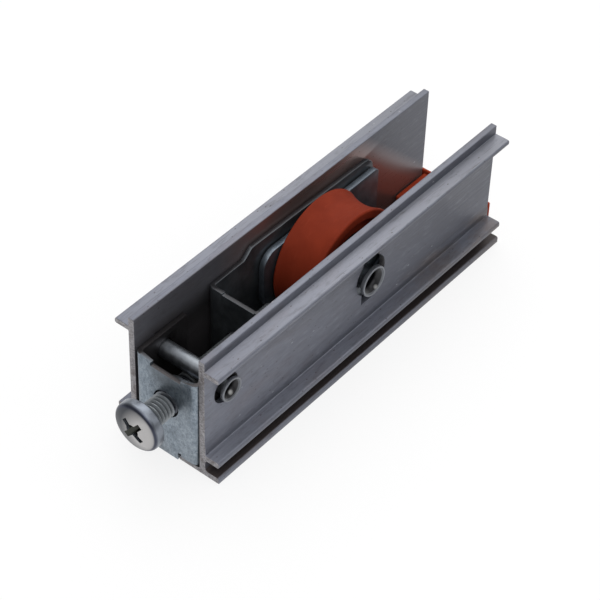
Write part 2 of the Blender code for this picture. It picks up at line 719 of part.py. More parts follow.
def make_balls_and_cage(assembly, pivot):
    """Balls on their pitch circle, in a crown cage with one pocket for each."""
    crown = [
        (CAGE_OUTER_RADIUS, CAGE_RISE), (CAGE_OUTER_RADIUS, -CAGE_DEPTH),
        (CAGE_INNER_RADIUS, -CAGE_DEPTH), (CAGE_INNER_RADIUS, CAGE_RISE),
    ]
    cage = turned("bearing_cage", crown, "Y", axle_point(), FINE_STEPS)
    for number, point in enumerate(ball_points(), start=1):
        pocket = ball(f"pocket_{number}", point, BALL_RADIUS + POCKET_PLAY)
        assembly.change(cage, "DIFFERENCE", pocket)
        assembly.part(ball(f"bearing_ball_{number}", point, BALL_RADIUS), "bearing_steel", pivot)
    assembly.part(cage, "cage_polymer", pivot)


def make_shields_and_spacers(assembly, pivot):
    """A shield over each side of the balls, and a spacer from each side of the inner ring."""
    shield_outside = BEARING_WIDTH / 2 - SHIELD_INSET
    shield_inside = shield_outside - SHIELD_THICKNESS
    spacer_inside = BEARING_WIDTH / 2 + SPACER_GAP
    spacer_outside = FORK_INSIDE - SPACER_GAP
    shield_radii = (INNER_LAND_RADIUS + SHIELD_GAP, OUTER_LAND_RADIUS - SHIELD_GAP)
    spacer_radii = (BEARING_BORE_RADIUS, SPACER_RADIUS)
    for side, sign in (("left", -1), ("right", 1)):
        for name, finish, radii, inside, outside in (
                ("bearing_shield_", "bearing_steel", shield_radii, shield_inside, shield_outside),
                ("axle_spacer_", "rivet_steel", spacer_radii, spacer_inside, spacer_outside)):
            top, bottom = sorted((sign * inside, sign * outside), reverse=True)
            inner, outer = radii
            washer = turned(name + side, [(outer, top), (outer, bottom), (inner, bottom), (inner, top)],
                            "Y", axle_point(), FINE_STEPS)
            assembly.part(washer, finish, pivot)


def round_edges(obj):
    bevel = obj.modifiers.new("edges", "BEVEL")
    bevel.width = CAP_EDGE
    bevel.segments = EDGE_SEGMENTS
    return obj


def make_end_cap(assembly):
    """Moulded cap at the far end: a low plug on the floor, and a plate over the ends of the walls."""
    plate_front = along(HOUSING_LENGTH + CAP_GAP)
    plate_back = plate_front + CAP_THICKNESS
    end_cap = round_edges(block("end_cap", (along(PLUG_FRONT_AT), -ARM_OUTSIDE, FLOOR + FLOOR_GAP),
                                (plate_back - CAP_EDGE, ARM_OUTSIDE, PLUG_TOP)))
    assembly.change(end_cap, "UNION", round_edges(block(
        "cap_plate", (plate_front, -WALL_OUTSIDE, CAP_BOTTOM), (plate_back, WALL_OUTSIDE, CAP_TOP))))
    assembly.part(end_cap, "cap_nylon")


def main():
    clear_scene()
    assembly = Assembly()
    screw_axis = assembly.pivot("screw_axis", screw_point())
    axle_axis = assembly.pivot("axle_axis", axle_point())
    make_housing(assembly)
    make_bracket(assembly)
    make_pin(assembly)
    make_screw(assembly, screw_axis)
    make_carriage(assembly, screw_axis)
    make_fork(assembly, axle_axis)
    make_axle(assembly, axle_axis)
    make_wheel(assembly, axle_axis)
    make_rings(assembly, axle_axis)
    make_balls_and_cage(assembly, axle_axis)
    make_shields_and_spacers(assembly, axle_axis)
    make_end_cap(assembly)


main()
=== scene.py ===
"""Looks of the sliding door roller: softened edges, turned rivets, a cut thread, finishes, light and camera.

Lengths are in metres, in the part's frame: +X runs along the channel away from the screw head, +Y to the
left wall seen from the screw head and +Z to the open side.
"""
import json
import math

import bmesh
import bpy
from mathutils import Matrix, Vector

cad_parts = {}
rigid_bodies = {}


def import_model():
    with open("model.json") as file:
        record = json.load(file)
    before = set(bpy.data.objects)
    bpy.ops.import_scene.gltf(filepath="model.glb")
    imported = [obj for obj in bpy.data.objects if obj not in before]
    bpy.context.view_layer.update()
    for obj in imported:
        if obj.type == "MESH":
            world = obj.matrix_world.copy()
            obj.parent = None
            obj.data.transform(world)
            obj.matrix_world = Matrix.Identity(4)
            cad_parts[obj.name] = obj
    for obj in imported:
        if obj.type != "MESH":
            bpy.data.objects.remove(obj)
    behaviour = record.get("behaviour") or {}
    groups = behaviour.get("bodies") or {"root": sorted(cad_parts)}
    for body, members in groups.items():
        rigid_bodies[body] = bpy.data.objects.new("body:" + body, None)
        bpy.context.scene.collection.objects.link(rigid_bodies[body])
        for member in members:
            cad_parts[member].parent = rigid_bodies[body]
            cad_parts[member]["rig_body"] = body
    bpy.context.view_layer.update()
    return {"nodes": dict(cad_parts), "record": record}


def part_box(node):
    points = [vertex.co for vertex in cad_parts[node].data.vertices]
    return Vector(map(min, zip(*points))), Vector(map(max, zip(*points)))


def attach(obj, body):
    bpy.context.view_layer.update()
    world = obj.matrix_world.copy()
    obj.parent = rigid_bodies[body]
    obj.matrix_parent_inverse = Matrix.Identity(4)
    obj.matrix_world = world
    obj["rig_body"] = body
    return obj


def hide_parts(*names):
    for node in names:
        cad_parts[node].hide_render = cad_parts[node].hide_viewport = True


# How finely shapes are divided
TURN_STEPS = 64
WHEEL_STEPS = 128
TREAD_STEPS = 20
DOME_STEPS = 14
RIM_STEPS = 10
FUNNEL_STEPS = 10
THREAD_STEPS = 48
HEAD_EDGE_STEPS = 5
EDGE_STEPS = 2
FORK_EDGE_STEPS = 3
WELD_DISTANCE = 1e-6
FLAT_ANGLE = math.radians(0.6)
SHARP_ANGLE = math.radians(32)
BEVEL_ANGLE = math.radians(40)

# Widths of softened edges
HOUSING_EDGE = 0.00007
BRACKET_EDGE = 0.00012
CARRIAGE_EDGE = 0.00018
FORK_EDGE = 0.00030
COLLAR_EDGE = 0.00025
CAP_EDGE = 0.00005
WHEEL_EDGE = 0.00018

# Rivets: a rolled rim round a funnel that runs into the bore
RIM_WIDTH = 0.00045
BORE_WALL = 0.0006
FUNNEL_DEPTH = 0.0013
BORE_DEPTH = 0.0028
PIN_SHAFT_RADIUS = 0.0017
PIN_SEAT = 0.00865
AXLE_SHAFT_RADIUS = 0.0022
AXLE_FLARE_RADIUS = 0.00315
AXLE_SEAT = 0.00865
AXLE_HEAD_EDGE = 0.0003

# Screw: pan head, cross recess and M5 thread
HEAD_HEIGHT = 0.0029
HEAD_EDGE = 0.00025
HEAD_SHOULDER = 0.0010
HEAD_DOME_RADIUS = 0.014
CROSS_TOP_LENGTH = 0.0054
CROSS_FLOOR_LENGTH = 0.0018
CROSS_TOP_WIDTH = 0.00112
CROSS_FLOOR_WIDTH = 0.0008
CROSS_DEPTH = 0.0024
CROSS_TURN = math.radians(40)
CROSS_HUB_RADIUS = 0.00135
CROSS_HUB_FLOOR_RADIUS = 0.0005
SHANK_RADIUS = 0.00245
THREAD_PITCH = 0.0008
THREAD_DEPTH = 0.00049
THREAD_START = 0.0003
THREAD_LEAD_PITCHES = 1.5
THREAD_SPARE_TURNS = 2
TIP_CHAMFER = 0.0006
# Share of a pitch and share of the depth at the corners of one thread ridge
THREAD_CORNERS = ((0.0, 0.0), (0.22, 0.0), (0.55, 1.0), (0.68, 1.0))

# Wheel
TREAD_DEPTH = 0.0009
TREAD_SHOULDER = 0.0003
WHEEL_FACE_RADIUS = 0.0103
WHEEL_WEB_RADIUS = 0.0098
WHEEL_WEB_WIDTH = 0.0072
WHEEL_LIP_RADIUS = 0.0076
BEARING_SEAT_RADIUS = 0.00815
BEARING_SEAT_WIDTH = 0.0056

# Shares of a pattern between which a tone changes
TONE = (0.3, 0.7)
SAW_TONE = (0.32, 0.66)
GRAIN_TONE = (0.34, 0.66)
SCUFF_TONE = (0.4, 0.7)
SATIN_LINES = (0.25, 0.75)

# Shares of a normal along an axis between which a face begins to count as facing it and fully does
FACING = (0.80, 0.95)
CUT_EDGE_FACING = (0.90, 0.98)

# Scratches and relief that several metals share
LONG_SCRATCH = (0.006, 0.00012, 0.00012)
CLOUD_DEPTH = 0.000008
SCRATCH_DEPTH = 0.000003

# Channel: size of each pattern along X, Y and Z, and depth of its relief
MILL_LINES = (0.030, 0.00030, 0.00030)
MILL_BANDS = (0.060, 0.0016, 0.0016)
MILL_STAINS = (0.009, 0.004, 0.0032)
MILL_STREAKS = (0.009, 0.00028, 0.00028)
MILL_MOTTLE = (0.0030, 0.0008, 0.0008)
MILL_SPECKS = (0.0022, 0.0011, 0.0011)
MILL_NICKS = (0.0070, 0.0030, 0.0030)
SAW_MARKS = (0.004, 0.00050, 0.00022)
SAW_SCORCH = (0.004, 0.0014, 0.0022)
LINE_DEPTH = 0.000005
MOTTLE_DEPTH = 0.000005
SAW_DEPTH = 0.000006

# Channel: colours
MILL_DARK = (0.180, 0.190, 0.229)
MILL_LIGHT = (0.214, 0.225, 0.267)
MILL_BAND = (0.160, 0.169, 0.204)
MILL_STAIN = (0.176, 0.166, 0.188)
# Painted shade on the side faces towards the far end
MILL_FAR_SHADE = (0.092, 0.097, 0.120)
MILL_SMEAR = (0.150, 0.124, 0.112)
# Painted light on the flange and wall tops
MILL_PAINTED_LIGHT = (0.285, 0.292, 0.328)
MILL_WORN = (0.090, 0.078, 0.080)
MOTTLE_DARK = (0.085, 0.084, 0.096)
MOTTLE_LIGHT = (0.270, 0.278, 0.312)
GROOVE_DARK = (0.050, 0.041, 0.040)
INSIDE_BROWN = (0.090, 0.078, 0.072)
# Painted shade low inside the front of the channel
INSIDE_SHADE = (0.055, 0.052, 0.055)
# Painted reddish reflection of the cap
CAP_PAINTED_REFLECTION = (0.310, 0.235, 0.225)
SPECK = (0.060, 0.050, 0.046)
NICK = (0.400, 0.405, 0.430)
SAWN_DARK = (0.142, 0.134, 0.142)
SAWN_LIGHT = (0.380, 0.370, 0.385)
SCORCHED = (0.110, 0.088, 0.082)

# Channel: where each mark begins and where it is full, and its shares at these two places
FAR_SHADE_RUN = (-0.041, 0.024)
FAR_SHADE_SHARES = (0.15, 1.0)
SMEAR_HEIGHT = (0.0088, 0.0068)
SMEAR_RUN = (0.010, 0.026)
LIT_TOP_RUN = (-0.041, 0.040)
LIT_TOP_SHARES = (0.25, 0.9)
FLANGE_HEIGHT = (0.0240, 0.0250)
WALL_TOP_HEIGHT = (0.0268, 0.0258)
WALL_TOP_SHARES = (0.2, 1.0)
GROOVE_INSIDE = (0.0084, 0.0086)
GROOVE_OUTSIDE = (0.0115, 0.0112)
GROOVE_FLOOR = (0.0010, 0.0012)
GROOVE_ROOF = (0.0037, 0.0035)
INSIDE_WALLS = (0.0075, 0.0073)
INSIDE_BROWN_RUN = (0.004, -0.020)
INSIDE_SHADE_RUN = (-0.011, -0.016)
INSIDE_SHADE_HEIGHT = (0.0230, 0.0180)
CAP_REFLECTION_HEADING = (0.96, 0, 1)
CAP_REFLECTION_LIMIT = (0.0495, 0.0435)
CAP_REFLECTION_RUN = (-0.020, -0.006)

# Channel: strength of worn streaks on other faces and on tops
WORN_SHARES = (0.25, 1.0)

# Channel: shine
MILL_METALLIC = 0.5
CAP_REFLECTION_METALLIC = 0.82
MILL_ROUGHNESS = (0.36, 0.50)
CAP_REFLECTION_SMOOTHING = 0.7

# Bracket: patterns, colours, the painted shade patch above the screw and the depth at which its back begins
ZINC_GRAIN = (0.00055, 0.00055, 0.00075)
ZINC_CLOUD = (0.0034, 0.0034, 0.0026)
ZINC_FLECKS = (0.0009, 0.00035, 0.0011)
GRAIN_DEPTH = 0.000016
GALVANISED_DARK = (0.140, 0.171, 0.205)
GALVANISED_LIGHT = (0.350, 0.402, 0.455)
GALVANISED_CLOUD = (0.135, 0.160, 0.190)
GALVANISED_FLECK = (0.070, 0.082, 0.096)
# Painted shade above the screw
GALVANISED_SHADE_PATCH = (0.085, 0.098, 0.112)
# Painted shade on up-facing cut edges and behind the front face
GALVANISED_SHADE = (0.062, 0.058, 0.060)
GALVANISED_ROUGHNESS = (0.34, 0.50)
SHADE_PATCH_PLACE = (0.0005, 0.0195)
SHADE_PATCH_REACH = (0.0046, 0.0016)
BACK_BEGINS = 0.0005
BACK_FULL = 0.0009

# Screw: pattern, colours and where they lie; a reach is a distance from the middle of what it names
SCREW_CLOUD = (0.0018, 0.0018, 0.0018)
SCREW_RELIEF = 0.000006
# Painted shade round the head's shoulder
SHOULDER_DARK = (0.044, 0.049, 0.072)
SHOULDER_LIGHT = (0.062, 0.068, 0.094)
# Painted light on the head's side
HEAD_SIDE_DARK = (0.185, 0.205, 0.240)
HEAD_SIDE_LIGHT = (0.260, 0.282, 0.318)
FACE_DARK = (0.058, 0.062, 0.071)
# Painted highlight on the head's face
FACE_HIGHLIGHT = (0.440, 0.432, 0.430)
# Painted shade in the cross recess
RECESS_SHADE = (0.050, 0.052, 0.046)
RIDGE_DARK = (0.260, 0.282, 0.300)
RIDGE_LIGHT = (0.370, 0.392, 0.410)
# Painted shade in the thread's valleys
THREAD_VALLEY_SHADE = (0.160, 0.172, 0.184)
HEAD_SIDE_FACING = (-0.60, -0.20)
FACE_FACING = (-0.80, -0.97)
FACE_HIGHLIGHT_SPOT = (0.0, -0.0029, 0.0002)
FACE_HIGHLIGHT_REACH = (0.0058, 0.0028)
RECESS_TOP_REACH = (0.0034, 0.0030)
RECESS_FLOOR_REACH = (0.0024, 0.0019)
# Within this reach of the collar the head's colours stand as painted shade
COLLAR_REACH = (0.0034, 0.0039)
SHANK_FADE = 0.0003

# Screw: shares of the thread's depth at which the painted shade in the thread's valleys begins and is full
VALLEY_BEGINS = 0.75
VALLEY_FULL = 0.10

# Screw: shine
SCREW_METALLIC = 0.9
SHANK_METALLIC = 0.6
SCREW_ROUGHNESS = (0.28, 0.38)
SHANK_ROUGHENING = 1.4

# Carriage and fork: pattern, colours and where the fork lies
SHEET_CLOUD = (0.0030, 0.0030, 0.0030)
SHEET_DARK = (0.070, 0.078, 0.088)
SHEET_LIGHT = (0.130, 0.142, 0.156)
# Painted shade on up-facing cut edges
SHEET_EDGE_SHADE = (0.050, 0.050, 0.054)
SHEET_SCRATCH = (0.045, 0.050, 0.056)
FORK_DARK = (0.120, 0.145, 0.175)
FORK_LIGHT = (0.215, 0.245, 0.280)
FORK_SIDES = (0.00600, 0.00595)
FORK_FRONT = (-0.0130, -0.0120)
SHEET_ROUGHNESS = (0.28, 0.42)

# Rivets: patterns, colours, the painted shade in each bowl, and the bright painted highlight low in each
# bowl at the near wall
RIVET_CLOUD = (0.0016, 0.0016, 0.0016)
RIVET_SCRATCH = (0.0003, 0.004, 0.0003)
RIVET_DARK = (0.205, 0.223, 0.248)
RIVET_LIGHT = (0.315, 0.337, 0.363)
RIVET_LINE = (0.120, 0.130, 0.145)
RIVET_RIM = (0.190, 0.200, 0.220)
# Painted shade in the rivet bowls
RIVET_BOWL_SHADE = (0.026, 0.026, 0.028)
# Painted highlight in the rivet bowls
RIVET_HIGHLIGHT = (0.360, 0.360, 0.355)
RIM_FROM = 0.0080
BOWL_SHARE = 0.92
PIN_HIGHLIGHT = (0.00035, 0.00075, -0.00135)
AXLE_HIGHLIGHT = (0.0010, 0.00045, -0.0022)
HIGHLIGHT_RADIUS = 0.00055
HIGHLIGHT_CORE = HIGHLIGHT_RADIUS / 3
RIVET_METALLIC = 0.95
RIM_METALLIC = 0.65
RIVET_ROUGHNESS = (0.30, 0.40)

# Bearing: pattern and colours
BEARING_CLOUD = (0.0012, 0.0012, 0.0012)
BEARING_DARK = (0.50, 0.50, 0.51)
BEARING_LIGHT = (0.62, 0.62, 0.62)
BEARING_SCRATCH = (0.28, 0.28, 0.28)
BEARING_ROUGHNESS = (0.14, 0.22)

# Mouldings: patterns, dark and light tone of each, and how much paler a scuff is
NYLON_CLOUD = (0.004, 0.004, 0.004)
NYLON_GRAIN = (0.00018, 0.00018, 0.00018)
NYLON_SCUFF = (0.0030, 0.0004, 0.0030)
WHEEL_TONES = ((0.182, 0.0235, 0.0098), (0.222, 0.0300, 0.0125))
# Cap tones brightened as painted light, since the cap sits in shade deep between the walls
CAP_BRIGHTENED_TONES = ((0.280, 0.036, 0.0140), (0.340, 0.048, 0.0180))
CAGE_TONES = ((0.50, 0.46, 0.36), (0.62, 0.58, 0.48))
SCUFF_GAIN = 1.25
SCUFF_LIFT = 0.012
NYLON_ROUGHNESS = (0.55, 0.70)
NYLON_CLOUD_DEPTH = 0.000025
NYLON_GRAIN_DEPTH = 0.000006

# Camera, fitted to the photographed edges
CAMERA_PLACE = Vector((-0.22441, -0.17055, 0.27439))
CAMERA_FORWARD = Vector((0.57196, 0.44558, -0.68871))
CAMERA_RIGHT = Vector((0.63340, -0.77340, 0.02565))
CAMERA_LENS = 127.3

# Stage and light: place, side of the square and radiance of each soft box
FLOOR_RADIUS = 3.0
FLOOR_DROP = 0.0001
FLOOR_STEPS = 64
FLOOR_COLOUR = (0.95, 0.95, 0.95)
FLOOR_GLOW = 0.8
HORIZON_STRENGTH = 0.28
ZENITH_STRENGTH = 1.4
ZENITH_SPREAD = (0.60, 0.95)
SOFT_BOXES = (
    ("key_light", (0.44, 0.28, 0.46), 0.80, 1.2),
    ("side_light", (0.30, -0.40, 0.35), 0.35, 0.9),
    ("front_light", (-0.35, -0.30, 0.45), 0.50, 1.1),
)
LIGHT_TARGET = Vector((0.0, 0.0, 0.012))

# Directions of a turned shape's own x, y and z: it is turned about the named axis
FRAMES = {
    "X": Matrix(((0, 0, 1), (1, 0, 0), (0, 1, 0))),
    "Y": Matrix(((1, 0, 0), (0, 0, -1), (0, 1, 0))),
}

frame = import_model()
NODES = frame["nodes"]
SLOT_OF = {row["node"]: row["material_slot"] for row in frame["record"]["subparts"]}


class Finish:
    """Node tree of one material, with short ways to add the nodes that it uses."""

    def __init__(self, name, metallic, specular=0.5):
        self.material = bpy.data.materials.new(name)
        self.material.use_nodes = True
        self.tree = self.material.node_tree
        self.shader = self.tree.nodes["Principled BSDF"]
        self.shader.inputs["Metallic"].default_value = metallic
        self.shader.inputs["Specular IOR Level"].default_value = specular
        self.place = self.node("ShaderNodeTexCoord")

    def node(self, kind, **settings):
        made = self.tree.nodes.new(kind)
        for key, value in settings.items():
            setattr(made, key, value)
        return made

    def feed(self, socket, value):
        """Link an output to a socket, or set the socket to a plain value."""
        if isinstance(value, bpy.types.NodeSocket):
            self.tree.links.new(value, socket)
        elif isinstance(value, (tuple, list)) and len(value) == 3 and socket.type == "RGBA":
            socket.default_value = (*value, 1)
        else:
            socket.default_value = value

    def grid(self, cell, offset=(0, 0, 0)):
        """Object coordinates counted in cells of the given size along X, Y and Z."""
        mapping = self.node("ShaderNodeMapping")
        self.feed(mapping.inputs["Vector"], self.place.outputs["Object"])
        self.feed(mapping.inputs["Scale"], tuple(1 / size for size in cell))
        self.feed(mapping.inputs["Location"], offset)
        return mapping.outputs["Vector"]

    def noise(self, cell, detail=3.0, roughness=0.55, offset=(0, 0, 0), distortion=0.0):
        """Soft noise between 0 and 1, with features about as large as the cell."""
        made = self.node("ShaderNodeTexNoise")
        self.feed(made.inputs["Vector"], self.grid(cell, offset))
        self.feed(made.inputs["Scale"], 1.0)
        self.feed(made.inputs["Detail"], detail)
        self.feed(made.inputs["Roughness"], roughness)
        self.feed(made.inputs["Distortion"], distortion)
        return made.outputs["Fac"]

    def cells(self, cell, offset=(0, 0, 0)):
        """Distance from the nearest of scattered points, about one to a cell."""
        made = self.node("ShaderNodeTexVoronoi")
        self.feed(made.inputs["Vector"], self.grid(cell, offset))
        self.feed(made.inputs["Scale"], 1.0)
        return made.outputs["Distance"]

    def axis(self, letter, output="Object"):
        """One component of the object coordinates or of the surface's normal."""
        made = self.node("ShaderNodeSeparateXYZ")
        self.feed(made.inputs[0], self.place.outputs[output])
        return made.outputs[letter]

    def span(self, value, low, high, to_low=0.0, to_high=1.0):
        """Value spread from low..high to to_low..to_high, held at both ends."""
        made = self.node("ShaderNodeMapRange")
        for key, number in (("Value", value), ("From Min", low), ("From Max", high),
                            ("To Min", to_low), ("To Max", to_high)):
            self.feed(made.inputs[key], number)
        return made.outputs["Result"]

    def share(self, value, between, strength=1.0):
        """Share that goes from 0 to the strength as a value passes between two marks."""
        return self.span(value, *between, 0.0, strength)

    def size_of(self, value):
        made = self.node("ShaderNodeMath", operation="ABSOLUTE")
        self.feed(made.inputs[0], value)
        return made.outputs[0]

    def join(self, operation, first, second):
        made = self.node("ShaderNodeMath", operation=operation)
        self.feed(made.inputs[0], first)
        self.feed(made.inputs[1], second)
        return made.outputs[0]

    def both(self, first, *others):
        """Share that is high only where all of the given shares are."""
        for other in others:
            first = self.join("MULTIPLY", first, other)
        return first

    def reach(self, point):
        """Distance from a point in the part's frame."""
        made = self.node("ShaderNodeVectorMath", operation="DISTANCE")
        self.feed(made.inputs[0], self.place.outputs["Object"])
        self.feed(made.inputs[1], point)
        return made.outputs["Value"]

    def off_axis(self, point):
        """Distance from the line along X through a point in the part's frame."""
        flat = self.node("ShaderNodeVectorMath", operation="MULTIPLY")
        self.feed(flat.inputs[0], self.place.outputs["Object"])
        self.feed(flat.inputs[1], (0, 1, 1))
        made = self.node("ShaderNodeVectorMath", operation="DISTANCE")
        self.feed(made.inputs[0], flat.outputs["Vector"])
        self.feed(made.inputs[1], (0, point.y, point.z))
        return made.outputs["Value"]

    def along(self, heading):
        """How far a place lies along a heading from the part's origin."""
        made = self.node("ShaderNodeVectorMath", operation="DOT_PRODUCT")
        self.feed(made.inputs[0], self.place.outputs["Object"])
        self.feed(made.inputs[1], heading)
        return made.outputs["Value"]

    def blend(self, share, first, second):
        """Colour between first and second by a share from 0 to 1."""
        made = self.node("ShaderNodeMix", data_type="RGBA")
        self.feed(made.inputs["Factor"], share)
        self.feed(made.inputs[6], first)
        self.feed(made.inputs[7], second)
        return made.outputs[2]

    def tint(self, ground, colour, value, between, strength=1.0):
        """Ground that turns to a colour, up to the strength, as a value passes between two marks."""
        return self.blend(self.share(value, between, strength), ground, colour)

    def metallic(self, value):
        self.feed(self.shader.inputs["Metallic"], value)

    def colour(self, value):
        self.feed(self.shader.inputs["Base Color"], value)

    def roughness(self, value):
        self.feed(self.shader.inputs["Roughness"], value)

    def relief(self, *layers):
        """Bump from (height, depth in metres) layers, laid one over another."""
        normal = None
        for height, depth in layers:
            made = self.node("ShaderNodeBump")
            self.feed(made.inputs["Height"], height)
            self.feed(made.inputs["Distance"], depth)
            if normal:
                self.feed(made.inputs["Normal"], normal)
            normal = made.outputs["Normal"]
        self.feed(self.shader.inputs["Normal"], normal)


def worn_extrusion(finish, lines, mottle, side):
    """Extruded faces: lines and bands along the length, stains, mottling and wear streaks on the flange
    tops, with painted shade on the side faces towards the far end and painted light on the flange and wall
    tops.
    """
    bands = finish.noise(MILL_BANDS, detail=2, offset=(3, 7, 1))
    stains = finish.noise(MILL_STAINS, detail=5, roughness=0.62, offset=(9, 2, 5))
    streaks = finish.noise(MILL_STREAKS, detail=3, roughness=0.7, offset=(4, 1, 7))
    run = finish.axis("X")
    height = finish.axis("Z")
    top = finish.span(finish.axis("Z", "Normal"), *FACING)
    metal = finish.blend(finish.span(lines, *TONE), MILL_DARK, MILL_LIGHT)
    metal = finish.tint(metal, MILL_BAND, bands, between=(0.40, 0.70), strength=0.6)
    metal = finish.tint(metal, MILL_STAIN, stains, between=(0.50, 0.72), strength=0.7)
    # Painted shade: side faces darken towards the far end, where the floor they reflect is darker
    shade_share = finish.both(side, finish.span(run, *FAR_SHADE_RUN, *FAR_SHADE_SHARES))
    metal = finish.blend(shade_share, metal, MILL_FAR_SHADE)
    smear = finish.both(finish.span(height, *SMEAR_HEIGHT), finish.span(run, *SMEAR_RUN),
                        finish.share(stains, between=(0.38, 0.60), strength=0.6))
    metal = finish.blend(smear, metal, MILL_SMEAR)
    # Painted light: flange tops, and wall tops less so, are lightened, more towards the far end
    pale = finish.both(top, finish.span(run, *LIT_TOP_RUN, *LIT_TOP_SHARES), finish.span(height, *FLANGE_HEIGHT),
                       finish.span(height, *WALL_TOP_HEIGHT, *WALL_TOP_SHARES))
    metal = finish.blend(pale, metal, MILL_PAINTED_LIGHT)
    metal = finish.tint(metal, MOTTLE_DARK, mottle, between=(0.52, 0.68), strength=0.35)
    metal = finish.tint(metal, MOTTLE_LIGHT, mottle, between=(0.46, 0.30), strength=0.25)
    wear_and_highlight = finish.both(finish.span(top, 0, 1, *WORN_SHARES),
                       finish.share(streaks, between=(0.60, 0.72), strength=0.6))
    return finish.blend(wear_and_highlight, metal, MILL_WORN)


def darken_channel(finish, metal, across, inside):
    """Darker between the lips, browner and darker inside towards the front, and painted shade low inside the
    front of the channel.
    """
    run = finish.axis("X")
    height = finish.axis("Z")
    # Darker between the lips
    groove = finish.both(finish.span(across, *GROOVE_INSIDE), finish.span(across, *GROOVE_OUTSIDE),
                         finish.span(height, *GROOVE_FLOOR), finish.span(height, *GROOVE_ROOF))
    metal = finish.blend(groove, metal, GROOVE_DARK)
    # Browner and darker inside towards the front
    inside_brown = finish.both(inside, finish.share(run, INSIDE_BROWN_RUN, strength=0.4))
    metal = finish.blend(inside_brown, metal, INSIDE_BROWN)
    # Painted shade low inside the front of the channel
    inside_shade = finish.both(inside, finish.span(run, *INSIDE_SHADE_RUN), finish.span(height, *INSIDE_SHADE_HEIGHT))
    return finish.blend(inside_shade, metal, INSIDE_SHADE)


def specks_and_nicks(finish, metal):
    """Scattered dark specks and bright nicks."""
    specks = finish.cells(MILL_SPECKS)
    metal = finish.tint(metal, SPECK, specks, between=(0.11, 0.07), strength=0.7)
    nicks = finish.cells(MILL_NICKS, offset=(2, 5, 3))
    return finish.tint(metal, NICK, nicks, between=(0.050, 0.025), strength=0.6)


def sawn_metal(finish, saw_marks):
    """Bright saw marks with scorched patches."""
    scorch = finish.noise(SAW_SCORCH, detail=3, offset=(7, 3, 6))
    metal = finish.blend(finish.span(saw_marks, *SAW_TONE), SAWN_DARK, SAWN_LIGHT)
    return finish.tint(metal, SCORCHED, scorch, between=(0.52, 0.72), strength=0.7)


def mill_aluminium():
    """As-extruded aluminium with sawn ends, and a painted reddish reflection of the cap low inside the walls
    towards it.
    """
    finish = Finish("mill_aluminium", metallic=MILL_METALLIC, specular=0.2)
    lines = finish.noise(MILL_LINES, detail=4)
    mottle = finish.noise(MILL_MOTTLE, detail=5, roughness=0.7, offset=(6, 5, 3))
    saw_marks = finish.noise(SAW_MARKS, detail=4, roughness=0.65, offset=(1, 4, 2))
    side = finish.span(finish.size_of(finish.axis("Y", "Normal")), *FACING)
    across = finish.size_of(finish.axis("Y"))
    inside = finish.span(across, *INSIDE_WALLS)
    metal = worn_extrusion(finish, lines, mottle, side)
    metal = darken_channel(finish, metal, across, inside)
    # Painted reflection: a reddish tint of the cap low inside the walls near it, where the metal is also
    # more metallic and smoother
    low = finish.span(finish.along(CAP_REFLECTION_HEADING), *CAP_REFLECTION_LIMIT)
    cap_reflection = finish.both(inside, side, low, finish.span(finish.axis("X"), *CAP_REFLECTION_RUN))
    metal = specks_and_nicks(finish, finish.blend(cap_reflection, metal, CAP_PAINTED_REFLECTION))
    at_end = finish.span(finish.size_of(finish.axis("X", "Normal")), *FACING)
    finish.colour(finish.blend(at_end, metal, sawn_metal(finish, saw_marks)))
    finish.metallic(finish.span(cap_reflection, 0, 1, MILL_METALLIC, CAP_REFLECTION_METALLIC))
    satin = finish.span(lines, *SATIN_LINES, *MILL_ROUGHNESS)
    finish.roughness(finish.both(satin, finish.span(cap_reflection, 0, 1, 1, CAP_REFLECTION_SMOOTHING)))
    finish.relief((lines, LINE_DEPTH), (mottle, MOTTLE_DEPTH), (saw_marks, SAW_DEPTH))
    return finish.material


def galvanised_sheet(front):
    """Zinc-coated sheet: mottling, soft clouds and fine dark lines; a painted shade patch above the screw,
    and painted shade on its up-facing cut edges and behind its front face.
    """
    finish = Finish("galvanised_sheet", metallic=0.9)
    grain = finish.noise(ZINC_GRAIN, detail=5, roughness=0.72, distortion=0.6)
    cloud = finish.noise(ZINC_CLOUD, detail=3, offset=(2, 8, 3))
    flecks = finish.noise(ZINC_FLECKS, detail=3, roughness=0.7, offset=(5, 1, 8), distortion=1.2)
    metal = finish.blend(finish.span(grain, *GRAIN_TONE), GALVANISED_DARK, GALVANISED_LIGHT)
    metal = finish.tint(metal, GALVANISED_CLOUD, cloud, between=(0.50, 0.72), strength=0.55)
    metal = finish.tint(metal, GALVANISED_FLECK, flecks, between=(0.58, 0.70), strength=0.6)
    # Painted shade: a dark patch on the front above the screw
    shade_patch_distance = finish.reach(Vector((front, *SHADE_PATCH_PLACE)))
    metal = finish.tint(metal, GALVANISED_SHADE_PATCH, shade_patch_distance, SHADE_PATCH_REACH, strength=0.6)
    # Painted shade: up-facing cut edges and everything behind the front face take one dark colour
    cut_edge = finish.span(finish.axis("Z", "Normal"), *CUT_EDGE_FACING)
    behind = finish.span(finish.axis("X"), front + BACK_BEGINS, front + BACK_FULL)
    shade_share = finish.join("MAXIMUM", cut_edge, behind)
    finish.colour(finish.blend(shade_share, metal, GALVANISED_SHADE))
    finish.roughness(finish.span(grain, *TONE, *GALVANISED_ROUGHNESS))
    finish.relief((grain, GRAIN_DEPTH))
    return finish.material


